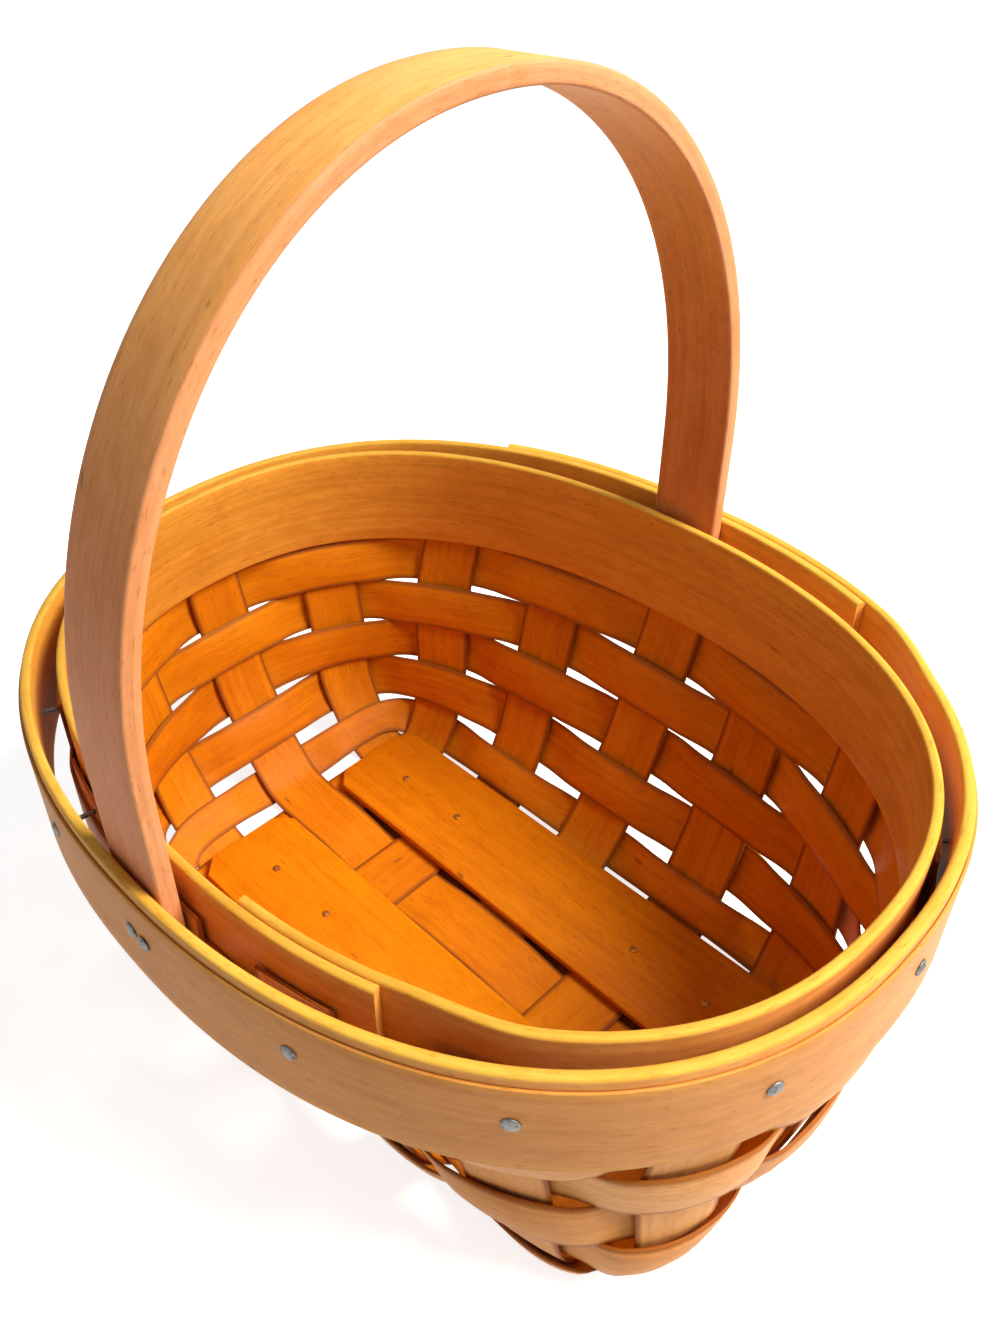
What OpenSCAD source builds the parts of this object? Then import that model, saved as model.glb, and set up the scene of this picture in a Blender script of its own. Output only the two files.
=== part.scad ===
// Oval splint basket with a fixed hoop handle, woven from flat wooden strips.
// The long axis of the rim is X, the handle stands across it in the YZ plane, and Z is up.
// The origin is on the ground under the middle of the basket.

/* [Rim] */
// Length of the rim outside, from end to end
rim_length = 232; // [205:1:260]
// Width of the rim outside, across the handle's feet and without the lap
rim_width = 193; // [175:0.5:220]
// Squareness of the rim oval: 2 is an ellipse and more is squarer
rim_squareness = 2.25; // [2:0.05:3]
// Height of the rim's top edge above the ground
rim_height = 105; // [98:1:130]
// Height of the inner rim band
band_height = 32.3; // [29:0.1:36]
// Height of the outer rim band, which leaves the woven row under it half in view
outer_band_height = 27.5; // [24:0.1:32]
// Thickness of the outer rim band
outer_band_t = 2.5; // [1.5:0.1:4]
// Thickness of the inner rim band
inner_band_t = 2.3; // [1.5:0.1:4]
// Thickness of the facing strip around the outer band
facing_t = 0.7; // [0.4:0.1:1.5]
// How far the facing's top edge lies below the rim's top edge
facing_drop = 2.6; // [1:0.1:5]

/* [Floor and walls] */
// How far the rim reaches out over each end of the floor
end_flare = 35.5; // [32:0.5:39]
// How far the rim reaches out over each long side of the floor
side_flare = 51.5; // [47:0.5:55]
// How far the floor's middle lies from the handle towards +X
floor_shift = 6.5; // [0:0.5:8]
// Squareness of the floor's outline
floor_squareness = 12; // [9:0.5:14]
// Roundness of the walls at their foot: 1 is a straight slope
wall_roundness = 1.5; // [1.3:0.05:1.8]
// How far the end wall at +X swells out half-way up
front_swell = 5; // [-2:0.5:8]
// How far the end wall at -X swells out half-way up
back_swell = 4.5; // [-2:0.5:8]

/* [Splints] */
// Width of the stakes
stake_width = 19; // [14:0.5:21]
// Thickness of the stakes
stake_t = 0.8; // [0.6:0.1:1.2]
// Distance from an end of the floor to the middle of the outermost cross stake
end_stake_inset = 10.1; // [9.5:0.1:13]
// Distance along X from an end of the rim to the same stake's middle at the rim
end_stake_inset_rim = 42.2; // [38:0.2:46]
// How far the cross stakes' middle lies from the handle towards +X at the rim
rim_shift = 2.5; // [0:0.5:5]
// Distance from a long side of the floor to the middle of the outer lengthwise stake
side_stake_inset = 10.4; // [10:0.1:13]
// Distance along Y from a long side of the rim to the same stake's middle at the rim
side_stake_inset_rim = 58.5; // [54:0.5:62]
// How far the stakes stop below the rim's top edge
stake_top_drop = 10; // [4:0.5:10.5]
// Width of the woven strips
weaver_width = 15.2; // [11:0.1:15.4]
// Thickness of the woven strips
weaver_t = 0.7; // [0.5:0.1:1]
// Width of the lowest woven strip
lowest_row_width = 11.5; // [9:0.5:12]
// Height of the lowest row's middle above the ground
lowest_row_z = 6.5; // [6.4:0.1:8]
// How much closer the lowest row lies to the row above it than the others do
lowest_row_closeness = 1.6; // [0:0.1:2.5]
// Gap between the bands' lower edge and the first row below them
first_row_gap = 0.7; // [0.5:0.1:1.5]
// Slack of the woven strips where they pass a stake
weave_slack = 0.8; // [0.3:0.1:1.2]
// How far the middle of a woven strip swells out over its edges
weave_crown = 1.2; // [0:0.1:1.5]
// Play between pieces that touch
play = 0.1; // [0.05:0.05:0.2]

/* [Floor slats] */
// Distance from the ends of the floor slats to the ends of the floor
slat_end_gap = 3.2; // [3:0.1:10]
// Width of the floor slats
slat_width = 34; // [28:0.5:34]
// Thickness of the floor slats
slat_t = 2.6; // [1.8:0.1:4]
// Cut corners of the floor slats
slat_corner = 5; // [1:0.5:8]
// Gap between a slat and the middle stake
slat_gap = 0.9; // [0.3:0.1:4]

/* [Handle] */
// Width of the handle strip
handle_width = 19.5; // [14:0.5:22]
// Thickness of the handle strip
handle_t = 4.3; // [2.5:0.1:5.5]
// How far the handle stands from the rim's middle towards +X
handle_x = 2; // [0:0.5:3]
// Gap between the handle's feet and the outer band
foot_gap = 0.9; // [0.6:0.1:2.5]
// Height of the handle's top above the ground
handle_top = 237; // [200:1:280]
// Height of the straight legs above the rim
handle_leg_rise = 22; // [2:1:30]
// Squareness of the handle's arch
handle_squareness = 2.1; // [2:0.05:2.6]
// How far the handle's feet reach down behind the outer band
handle_foot_depth = 25.5; // [20:0.5:29]

/* [Tacks and nails] */
// Diameter of a tack's head
tack_head_d = 3.6; // [2.5:0.1:5]
// Height of a tack's domed head
tack_head_h = 0.8; // [0.4:0.1:1.2]
// Diameter of a tack's shank
tack_shank_d = 1.2; // [0.8:0.1:1.6]
// Depth of the tacks below the rim's top edge
tack_drop = 12.7; // [10:0.1:15]
// How far the near side's tacks lie beside the middle of their uprights
tack_shift = 6; // [0:0.5:7]
// Distance between the two tacks of a handle foot
handle_tack_pitch = 4.6; // [4:0.1:6]
// Distance from the middle of a handle foot to its tacks' middle
handle_tack_x = 5; // [0:0.1:5.2]
// Distance of the outer slat nails from the ends of the slats
end_nail_inset = 18; // [17:0.5:22]
// Distance from the middle of a lengthwise stake to the slat nails in it
nail_inset = 7.2; // [4:0.1:8]
// Diameter of a slat nail's head
nail_head_d = 2.4; // [1.6:0.1:3.5]
// Height of a slat nail's domed head
nail_head_h = 0.4; // [0.3:0.1:1]
// Diameter of a slat nail's shank
nail_shank_d = 1; // [0.6:0.1:1.4]
// How far the slat nails reach below the slats
nail_reach = 0.8; // [0.2:0.1:0.8]

/* [Hidden] */
// Smoothness of the round pieces
$fn = 32;

// Numbers of pieces
cross_count = 5;
long_count = 3;
row_count = 5;
uprights = 2 * (cross_count + long_count);
quarter_turn = uprights / 4;

// Heights from the ground up: a stake under, the flat cross stakes, a stake over, the slats
stake_lift = stake_t + play;
floor_z = stake_lift + stake_t / 2;
slat_z = floor_z + stake_lift + stake_t / 2 + play / 2;
band_bottom = rim_height - band_height;
outer_band_bottom = rim_height - outer_band_height;
stake_top = rim_height - stake_top_drop;
tack_z = rim_height - tack_drop;
first_row_z = band_bottom - first_row_gap - weaver_width / 2;
row_pitch = (first_row_z - lowest_row_z + lowest_row_closeness) / (row_count - 1);

// The floor, and the distances from stake to stake on the floor and at the rim
floor_length = rim_length - 2 * end_flare;
floor_width = rim_width - 2 * side_flare;
outer_cross = floor((cross_count - 1) / 2);
cross_pitch = (floor_length / 2 - end_stake_inset) / outer_cross;
cross_pitch_rim = (rim_length / 2 - end_stake_inset_rim) / outer_cross;
long_pitch = floor_width / 2 - side_stake_inset;
long_pitch_rim = rim_width / 2 - side_stake_inset_rim;
// Each cross stake, counted from the middle one, and how far it strays along X at the rim
stake_drift = [[-2, -1], [-1, -1.5], [0, 2.5], [1, 0.5], [2, -2.5]];

// The reference oval lies in the middle of the stakes where the bands hold them
half_body = stake_t / 2 + weaver_t + play;
foot_room = handle_t + foot_gap;
rim_stack = half_body + play + outer_band_t + play + facing_t;
oval_a = rim_length / 2 - rim_stack;
oval_b = rim_width / 2 - rim_stack - foot_room;

// The laps, as angles round the oval
outer_lap_start = 63;
outer_lap_end = 119;
outer_lap_run = 18;
inner_lap_start = -80;
inner_lap_end = -62;
inner_lap_run = 18;
facing_end_gap = 2;
ring_step = 3;

// The higher this power, the sooner the floor's square corners turn round
corner_ease = 3;

// Steps of the swept strips
weave_steps = 4;
wall_steps = 16;
slope_step = 0.004;
travel_step = 0.02;
width_step = 0.1;
cross_first_rise = 0.04;

// Length of the cutters for the tack and nail holes
hole_reach = 40;

wood = "#d99a48";
dark_wood = "#b8742c";
metal = "#b9bcc0";

// Small helpers
function mix(a, b, f) = a + (b - a) * f;
function unit(v) = v / norm(v);
function signed_pow(base, power) = sign(base) * pow(abs(base), power);
function smooth_step(f) = let (c = min(max(f, 0), 1)) c * c * (3 - 2 * c);
// The other coordinate of a point on an oval with half axes a and b and squareness n
function oval_other(u, a, b, n) = b * pow(max(0, 1 - pow(abs(u) / a, n)), 1 / n);

// The wall: travel runs round the basket with one unit from upright to upright and 0 at +X,
// and rise runs from 0 at the floor to 1 at the bands' lower edge and 2 at the rim
function wall_z(rise) = rise <= 1
    ? floor_z + (band_bottom - floor_z) * pow(rise, wall_roundness)
    : band_bottom + (rise - 1) * band_height;
function wall_rise(z) = z <= band_bottom
    ? pow(max(z - floor_z, 0) / (band_bottom - floor_z), 1 / wall_roundness)
    : 1 + (z - band_bottom) / band_height;
// The end is 1 at +X and -1 at -X
function wall_half_length(rise, end) = let (
        r = min(rise, 1),
        swell = end > 0 ? front_swell : back_swell
    )
    mix(floor_length / 2 + end * floor_shift, oval_a, r) + swell * sin(180 * r);
function wall_half_width(rise) = mix(floor_width / 2, oval_b, min(rise, 1));
function wall_squareness(rise) = mix(rim_squareness, floor_squareness, pow(1 - min(rise, 1), corner_ease));
// Where a cross stake meets the long walls; the places between two stakes count in parts
function cross_x(place, rise) = let (r = min(rise, 1))
    place * mix(cross_pitch, cross_pitch_rim, r) + mix(floor_shift, rim_shift, r)
    + r * lookup(place, stake_drift);

// One quarter of the wall's outline, from the end's middle upright to the long side's
function quarter_point(w, rise, end) = let (
        a = wall_half_length(rise, end),
        b = wall_half_width(rise),
        n = wall_squareness(rise),
        long_gap = mix(long_pitch, long_pitch_rim, min(rise, 1)),
        x = end * cross_x(end * (quarter_turn - max(w, 2)), rise)
    )
    w <= 1 ? [oval_other(w * long_gap, b, a, n), w * long_gap]
    : w >= 2 ? [x, oval_other(x, a, b, n)]
    : let (
        low = asin(pow(long_gap / b, n / 2)),
        high = acos(pow(x / a, n / 2)),
        angle = mix(low, high, w - 1)
    ) [a * pow(cos(angle), 2 / n), b * pow(sin(angle), 2 / n)];

function wall_point(travel, rise) = let (
        t = (travel % uprights + uprights) % uprights,
        q = floor(t / quarter_turn),
        w = q % 2 == 0 ? t - q * quarter_turn : (q + 1) * quarter_turn - t,
        back = q == 1 || q == 2,
        p = quarter_point(w, rise, back ? -1 : 1)
    )
    [(back ? -1 : 1) * p.x, (q >= 2 ? -1 : 1) * p.y, wall_z(rise)];
function wall_along(travel, rise) =
    (wall_point(travel + travel_step, rise) - wall_point(travel - travel_step, rise)) / (2 * travel_step);
function wall_up(travel, rise) =
    (wall_point(travel, rise + slope_step) - wall_point(travel, rise - slope_step)) / (2 * slope_step);
function wall_normal(travel, rise) = unit(cross(wall_along(travel, rise), wall_up(travel, rise)));

// A six-point section of a strip: three points on its outer face and three on its inner one
function strip_section(points, normals, offset, t) = concat(
    [for (i = [0 : 2]) points[i] + normals[i] * (offset + t / 2)],
    [for (i = [2 : -1 : 0]) points[i] + normals[i] * (offset - t / 2)]
);

// Section of a stake on the wall; side says which way its width runs round the wall
function stake_wall_section(travel, rise, side) = let (
        half = stake_width / 2,
        ahead = norm(wall_point(travel + width_step, rise) - wall_point(travel, rise)) / width_step,
        behind = norm(wall_point(travel, rise) - wall_point(travel - width_step, rise)) / width_step,
        reach = [-half / behind, 0, half / ahead],
        at = [for (i = [-1 : 1]) travel + reach[1 + side * i]]
    )
    strip_section(
        [for (t = at) wall_point(t, rise)],
        [for (t = at) wall_normal(t, rise)],
        0, stake_t
    );
// Section of a stake on the floor, with its width along the given direction
function stake_floor_section(middle, along) = strip_section(
    [for (i = [-1 : 1]) middle + along * i * stake_width / 2],
    [for (i = [-1 : 1]) [0, 0, -1]],
    0, stake_t
);
function wall_rises(first) = let (last = wall_rise(stake_top))
    concat([for (i = [0 : wall_steps - 1]) mix(first, 1, i / wall_steps)], [1, last]);
function reversed(list) = [for (i = [len(list) - 1 : -1 : 0]) list[i]];

// Triangles round a chain of six-point sections
function loop_faces(count, closed) = [
    for (i = [0 : count - (closed ? 1 : 2)], k = [0 : 5])
    let (
        a = i * 6 + k,
        b = i * 6 + (k + 1) % 6,
        c = (i + 1) % count * 6 + (k + 1) % 6,
        d = (i + 1) % count * 6 + k
    )
    each [[c, b, a], [d, c, a]]
];
function cap_faces(s) = [
    [s, s + 1, s + 5],
    [s + 1, s + 4, s + 5],
    [s + 1, s + 2, s + 4],
    [s + 2, s + 3, s + 4]
];
function flipped(faces) = [for (f = faces) [f[2], f[1], f[0]]];
module strip(sections, closed = false) {
    count = len(sections);
    caps = closed ? [] : concat(cap_faces(0), flipped(cap_faces((count - 1) * 6)));
    polyhedron([for (s = sections) each s], concat(loop_faces(count, closed), caps));
}

// Stakes
// The floor of a lengthwise stake: it lies over or under each cross stake in turn
function long_floor(index) = [
    for (k = [-2 : 2], end = [-1, 1])
    let (over = (k + index) % 2 == 0 ? 1 : -1)
    [cross_x(k, 0) + end * (stake_width / 2 + play), index * long_pitch, floor_z + over * stake_lift]
];
module long_stake(index) {
    first = wall_rise(floor_z + 2 * stake_lift);
    rises = wall_rises(first);
    color(wood)
    difference() {
        strip(concat(
            [for (r = reversed(rises)) stake_wall_section(uprights / 2 - index, r, -1)],
            [for (p = long_floor(index)) stake_floor_section(p, [0, 1, 0])],
            [for (r = rises) stake_wall_section(index, r, 1)]
        ));
        tack_holes([index, uprights / 2 - index]);
        if (index != 0)
            nail_holes(index);
    }
}
module cross_stake(index) {
    rises = wall_rises(cross_first_rise);
    reach = long_pitch + stake_width / 2;
    near = uprights * 3 / 4 + index;
    far = quarter_turn - index;
    color(wood)
    difference() {
        strip(concat(
            [for (r = reversed(rises)) stake_wall_section(near, r, -1)],
            [for (y = [-reach, reach]) stake_floor_section([cross_x(index, 0), y, floor_z], [-1, 0, 0])],
            [for (r = rises) stake_wall_section(far, r, 1)]
        ));
        tack_holes(index == 0 ? [] : [near, far]);
        if (index == 0)
            handle_tack_holes();
    }
}

// Woven rows: odd rows pass inside the odd uprights, even rows inside the even ones
function row_z(row) = row == 0
    ? band_bottom + 2 * play + weaver_width / 2
    : row == row_count ? lowest_row_z
    : first_row_z - (row - 1) * row_pitch;
function row_width(row) = row == row_count ? lowest_row_width : weaver_width;
// Which way a row passes upright 0: 1 outside it and -1 inside
function row_side(row) = row % 2 == 0 ? -1 : 1;
function row_offset(travel, row) = let (
        least = (stake_t + weaver_t) / 2 + play / 2,
        wave = cos(180 * travel),
        flat_wave = min(max(2 * wave, -1), 1),
        slack = row == 0 ? 0 : weave_slack
    )
    row_side(row) * (least * flat_wave + slack * wave);
function row_section(travel, row) = let (
        slope = unit(wall_up(travel, wall_rise(row_z(row)))).z,
        rises = [for (i = [1 : -1 : -1]) wall_rise(row_z(row) + i * slope * row_width(row) / 2)],
        normals = [for (r = rises) wall_normal(travel, r)],
        crown = row == 0 ? 0 : weave_crown * row_side(row) * cos(180 * travel)
    )
    strip_section(
        [for (i = [0 : 2]) wall_point(travel, rises[i]) + normals[i] * (i == 1 ? crown : 0)],
        normals,
        row_offset(travel, row), weaver_t
    );
module weaver_row(row) {
    color(wood)
    strip([for (i = [0 : uprights * weave_steps - 1]) row_section(i / weave_steps, row)], closed = true);
}

// Rim bands, drawn as offsets from the reference oval
function oval_angle(p) =
    atan2(signed_pow(p.y / oval_b, rim_squareness / 2), signed_pow(p.x / oval_a, rim_squareness / 2));
function oval_point(angle) = [
    oval_a * signed_pow(cos(angle), 2 / rim_squareness),
    oval_b * signed_pow(sin(angle), 2 / rim_squareness)
];
function oval_normal(p) = unit([
    signed_pow(p.x, rim_squareness - 1) / pow(oval_a, rim_squareness),
    signed_pow(p.y, rim_squareness - 1) / pow(oval_b, rim_squareness)
]);
function oval_offset(angle, offset) = let (p = oval_point(angle)) p + oval_normal(p) * offset;
function steps_between(first, last) = let (count = ceil((last - first) / ring_step))
    [for (i = [0 : count]) mix(first, last, i / count)];

// Inner face of the outer band: it leaves room for the handle's feet and climbs over its own start
function lap_share(angle, run) = smooth_step((angle + run) / (run - 2));
function outer_band_base(angle) = half_body + play + foot_room * pow(sin(angle), 2)
    + (outer_band_t + play) * lap_share(angle - 360 - outer_lap_start, outer_lap_run);
function facing_base(angle) = outer_band_base(angle) + outer_band_t + play;
// Outer face of the inner band: it starts one thickness further in, under its own end
function inner_band_base(angle) = -half_body - play
    - (inner_band_t + play) * lap_share(inner_lap_end - angle, inner_lap_run);
// A strip bent round the oval; its inner face lies at the given offsets
module band(angles, offsets, t, bottom, top) {
    last = len(angles) - 1;
    translate([0, 0, bottom])
    linear_extrude(top - bottom)
    polygon(concat(
        [for (i = [0 : last]) oval_offset(angles[i], offsets[i] + t)],
        [for (i = [last : -1 : 0]) oval_offset(angles[i], offsets[i])]
    ));
}
module inner_rim_band() {
    angles = steps_between(inner_lap_start, 360 + inner_lap_end);
    offsets = [for (a = angles) inner_band_base(a) - inner_band_t];
    color(dark_wood)
    difference() {
        band(angles, offsets, inner_band_t, band_bottom, rim_height);
        all_tack_holes();
    }
}
module outer_rim_band() {
    angles = steps_between(outer_lap_start, 360 + outer_lap_end);
    color(dark_wood)
    difference() {
        band(angles, [for (a = angles) outer_band_base(a)], outer_band_t, outer_band_bottom, rim_height);
        all_tack_holes();
    }
}
module outer_rim_facing() {
    angles = steps_between(
        outer_lap_end + facing_end_gap,
        360 + outer_lap_start - outer_lap_run - facing_end_gap
    );
    color(wood)
    difference() {
        band(angles, [for (a = angles) facing_base(a)], facing_t,
             outer_band_bottom, rim_height - facing_drop);
        all_tack_holes();
    }
}

// Handle
leg_inner = oval_b + half_body + play;
leg_outer = leg_inner + handle_t;
arch_z = rim_height + handle_leg_rise;
arch_step = 4;
function arch_point(angle) = [
    leg_outer * signed_pow(cos(angle), 2 / handle_squareness),
    (handle_top - arch_z) * signed_pow(sin(angle), 2 / handle_squareness)
];
function arch_normal(p) = unit([
    signed_pow(p.x, handle_squareness - 1) / pow(leg_outer, handle_squareness),
    signed_pow(p.y, handle_squareness - 1) / pow(handle_top - arch_z, handle_squareness)
]);
function arch_side(inset) = [
    for (angle = [0 : arch_step : 180])
    let (p = arch_point(angle))
    p - arch_normal(p) * inset + [0, arch_z]
];
module handle() {
    foot_z = rim_height - handle_foot_depth;
    outer_side = concat([[leg_outer, foot_z]], arch_side(0), [[-leg_outer, foot_z]]);
    inner_side = concat([[leg_inner, foot_z]], arch_side(handle_t), [[-leg_inner, foot_z]]);
    color(wood)
    difference() {
        translate([handle_x, 0, 0])
        rotate([90, 0, 90])
        linear_extrude(handle_width, center = true)
        polygon(concat(outer_side, reversed(inner_side)));
        handle_tack_holes();
    }
}

// Floor slats
slat_length = floor_length - 2 * slat_end_gap;
slat_y = stake_width / 2 + slat_gap + slat_width / 2;
module floor_slat(side) {
    color(wood)
    difference() {
        translate([floor_shift, side * slat_y, slat_z])
        linear_extrude(slat_t)
        cut_corner_board(slat_length, slat_width, slat_corner);
        nail_holes(side);
    }
}
module cut_corner_board(length, width, corner) {
    x = length / 2;
    y = width / 2;
    polygon([
        [x, y - corner], [x - corner, y], [corner - x, y], [-x, y - corner],
        [-x, corner - y], [corner - x, -y], [x - corner, -y], [x, corner - y]
    ]);
}

// Tacks: one at each upright but the two under the handle, which has pairs of its own
rim_travels = [for (t = [0 : uprights - 1]) if (t % (uprights / 2) != quarter_turn) t];
function is_near(travel) = travel == 0 || travel > uprights / 2;
function tack_place(travel) = let (
        beside = is_near(travel) ? tack_shift / cross_pitch_rim : 0,
        p = wall_point(travel + beside, 2)
    )
    [p.x, p.y];
function full_turn(angle) = angle > outer_lap_end ? angle : angle + 360;
function in_inner_lap(angle) = angle < inner_lap_end && angle > inner_lap_start;
function rim_outside(angle) = let (
        turned = full_turn(angle),
        bare = turned > 360 + outer_lap_start - outer_lap_run - facing_end_gap
    )
    outer_band_base(turned) + outer_band_t + (bare ? 0 : play + facing_t);
function rim_inside(angle) =
    -half_body - play - inner_band_t - (in_inner_lap(angle) ? inner_band_t + play : 0);

// Puts its children on the line of a tack, with Z pointing out of the basket
module on_tack_line(place) {
    normal = oval_normal(place);
    translate([place.x, place.y, tack_z])
    rotate([0, 90, atan2(normal.y, normal.x)])
    children();
}
module tack(inside, outside) {
    translate([0, 0, inside])
    cylinder(d = tack_shank_d, h = outside - inside + tack_head_h / 2);
    translate([0, 0, outside + play / 2])
    tack_head(tack_head_d, tack_head_h);
}
module tack_head(d, h) {
    dome_r = (d * d / 4 + h * h) / (2 * h);
    rotate_extrude()
    intersection() {
        translate([0, h - dome_r])
        circle(dome_r, $fn = 96);
        square([d, h]);
    }
}
module tack_hole() {
    cylinder(d = tack_shank_d + play, h = hole_reach, center = true);
}
module tack_holes(travels) {
    for (t = travels)
        on_tack_line(tack_place(t))
        tack_hole();
}
module rim_tacks() {
    color(metal)
    for (t = rim_travels)
        on_tack_line(tack_place(t))
        tack(rim_inside(oval_angle(tack_place(t))), rim_outside(oval_angle(tack_place(t))));
}

// Handle tacks go straight through the flat legs, along Y
handle_tack_places = [
    for (x = [-1, 1], y = [-1, 1])
    [handle_x + handle_tack_x + x * handle_tack_pitch / 2, y]
];
module on_handle_tack_line(place) {
    translate([place.x, place.y * oval_b, tack_z])
    rotate([-90 * place.y, 0, 0])
    children();
}
module handle_tack_holes() {
    for (place = handle_tack_places)
        on_handle_tack_line(place)
        tack_hole();
}
module handle_tacks() {
    color(metal)
    for (place = handle_tack_places)
        on_handle_tack_line(place)
        tack(rim_inside(-90), rim_outside(90 * place.y));
}
module all_tack_holes() {
    tack_holes(rim_travels);
    handle_tack_holes();
}

// Slat nails go through a slat and into the stake under it
end_nail_x = slat_length / 2 - end_nail_inset;
nail_y = long_pitch - nail_inset;
nail_xs = [for (x = [-end_nail_x, -cross_pitch, cross_pitch, end_nail_x]) floor_shift + x];
module nail_holes(side) {
    for (x = nail_xs)
        translate([x, side * nail_y])
        cylinder(d = nail_shank_d + play, h = hole_reach, center = true);
}
module slat_nails() {
    color(metal)
    for (x = nail_xs, side = [-1, 1])
        translate([x, side * nail_y, slat_z - nail_reach]) {
            cylinder(d = nail_shank_d, h = slat_t + nail_reach + nail_head_h / 2);
            translate([0, 0, slat_t + nail_reach + play / 2])
            tack_head(nail_head_d, nail_head_h);
        }
}

long_stake(-1);  // stake_long_near
long_stake(0);  // stake_long_middle
long_stake(1);  // stake_long_far
cross_stake(-2);  // stake_cross_1
cross_stake(-1);  // stake_cross_2
cross_stake(0);  // stake_cross_3
cross_stake(1);  // stake_cross_4
cross_stake(2);  // stake_cross_5
weaver_row(1);  // weaver_row_1
weaver_row(2);  // weaver_row_2
weaver_row(3);  // weaver_row_3
weaver_row(4);  // weaver_row_4
weaver_row(5);  // weaver_row_5
weaver_row(0);  // weaver_row_top
inner_rim_band();
outer_rim_band();
outer_rim_facing();
handle();
floor_slat(1);  // floor_slat_far
floor_slat(-1);  // floor_slat_near
rim_tacks();
handle_tacks();
slat_nails();
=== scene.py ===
"""Oval splint basket with a fixed hoop handle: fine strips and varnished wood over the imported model."""

import math

import bpy
import numpy as np
from mathutils import Matrix, Vector


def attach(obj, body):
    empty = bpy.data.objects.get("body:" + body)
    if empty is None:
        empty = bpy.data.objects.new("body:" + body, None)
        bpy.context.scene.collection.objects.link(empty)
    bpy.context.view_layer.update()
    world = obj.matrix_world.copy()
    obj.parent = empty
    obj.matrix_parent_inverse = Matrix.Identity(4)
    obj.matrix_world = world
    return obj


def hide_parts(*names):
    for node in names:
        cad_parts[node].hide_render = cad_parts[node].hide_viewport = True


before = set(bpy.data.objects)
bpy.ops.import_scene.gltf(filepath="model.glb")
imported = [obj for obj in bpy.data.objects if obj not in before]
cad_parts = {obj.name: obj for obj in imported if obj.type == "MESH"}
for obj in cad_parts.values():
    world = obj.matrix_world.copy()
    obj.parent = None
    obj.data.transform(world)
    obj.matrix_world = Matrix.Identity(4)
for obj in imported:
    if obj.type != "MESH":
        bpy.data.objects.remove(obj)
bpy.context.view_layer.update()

# Sizes of the basket in millimetres, as in its construction
RIM_LENGTH = 232
RIM_WIDTH = 193
RIM_SQUARENESS = 2.25
RIM_HEIGHT = 105
BAND_HEIGHT = 32.3
OUTER_BAND_HEIGHT = 27.5
OUTER_BAND_T = 2.5
INNER_BAND_T = 2.3
FACING_T = 0.7
FACING_DROP = 2.6
END_FLARE = 35.5
SIDE_FLARE = 51.5
FLOOR_LENGTH = RIM_LENGTH - 2 * END_FLARE
FLOOR_WIDTH = RIM_WIDTH - 2 * SIDE_FLARE
FLOOR_SHIFT = 6.5
RIM_SHIFT = 2.5
FLOOR_SQUARENESS = 12
CORNER_EASE = 3
WALL_ROUNDNESS = 1.5
FRONT_SWELL = 5
BACK_SWELL = 4.5
CROSS_FIRST_RISE = 0.04
STAKE_WIDTH = 19
STAKE_T = 0.8
END_STAKE_INSET = 10.1
END_STAKE_INSET_RIM = 42.2
SIDE_STAKE_INSET = 10.4
SIDE_STAKE_INSET_RIM = 58.5
OUTER_CROSS = 2
CROSS_PITCH = (FLOOR_LENGTH / 2 - END_STAKE_INSET) / OUTER_CROSS
CROSS_PITCH_RIM = (RIM_LENGTH / 2 - END_STAKE_INSET_RIM) / OUTER_CROSS
LONG_PITCH = FLOOR_WIDTH / 2 - SIDE_STAKE_INSET
LONG_PITCH_RIM = RIM_WIDTH / 2 - SIDE_STAKE_INSET_RIM
STAKE_DRIFT = {-2: -1, -1: -1.5, 0: 2.5, 1: 0.5, 2: -2.5}
STAKE_TOP_DROP = 10
WEAVER_WIDTH = 15.2
LOWEST_ROW_WIDTH = 11.5
LOWEST_ROW_Z = 6.5
LOWEST_ROW_CLOSENESS = 1.6
WEAVER_T = 0.7
FIRST_ROW_GAP = 0.7
WEAVE_SLACK = 0.8
WEAVE_CROWN = 1.2
PLAY = 0.1
SLAT_END_GAP = 3.2
SLAT_LENGTH = FLOOR_LENGTH - 2 * SLAT_END_GAP
SLAT_WIDTH = 34
SLAT_T = 2.6
SLAT_CORNER = 5
SLAT_GAP = 0.9
HANDLE_WIDTH = 19.5
HANDLE_T = 4.3
HANDLE_X = 2
FOOT_GAP = 0.9
HANDLE_TOP = 237
HANDLE_LEG_RISE = 22
HANDLE_SQUARENESS = 2.1
HANDLE_FOOT_DEPTH = 25.5
TACK_HEAD_D = 3.6
TACK_HEAD_H = 0.8
TACK_SHANK_D = 1.2
TACK_DROP = 12.7
TACK_SHIFT = 6
HANDLE_TACK_PITCH = 4.6
HANDLE_TACK_X = 5
END_NAIL_INSET = 18
NAIL_INSET = 7.2
END_NAIL_X = SLAT_LENGTH / 2 - END_NAIL_INSET
NAIL_Y = LONG_PITCH - NAIL_INSET
NAIL_HEAD_D = 2.4
NAIL_HEAD_H = 0.4
NAIL_SHANK_D = 1
NAIL_REACH = 0.8
ROW_COUNT = 5
UPRIGHTS = 16
QUARTER_TURN = UPRIGHTS // 4

# Laps of the bands, as angles round the rim
OUTER_LAP_START = 63
OUTER_LAP_END = 119
INNER_LAP_START = -80
INNER_LAP_END = -62
LAP_RUN = 18
FACING_END_GAP = 2

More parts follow.
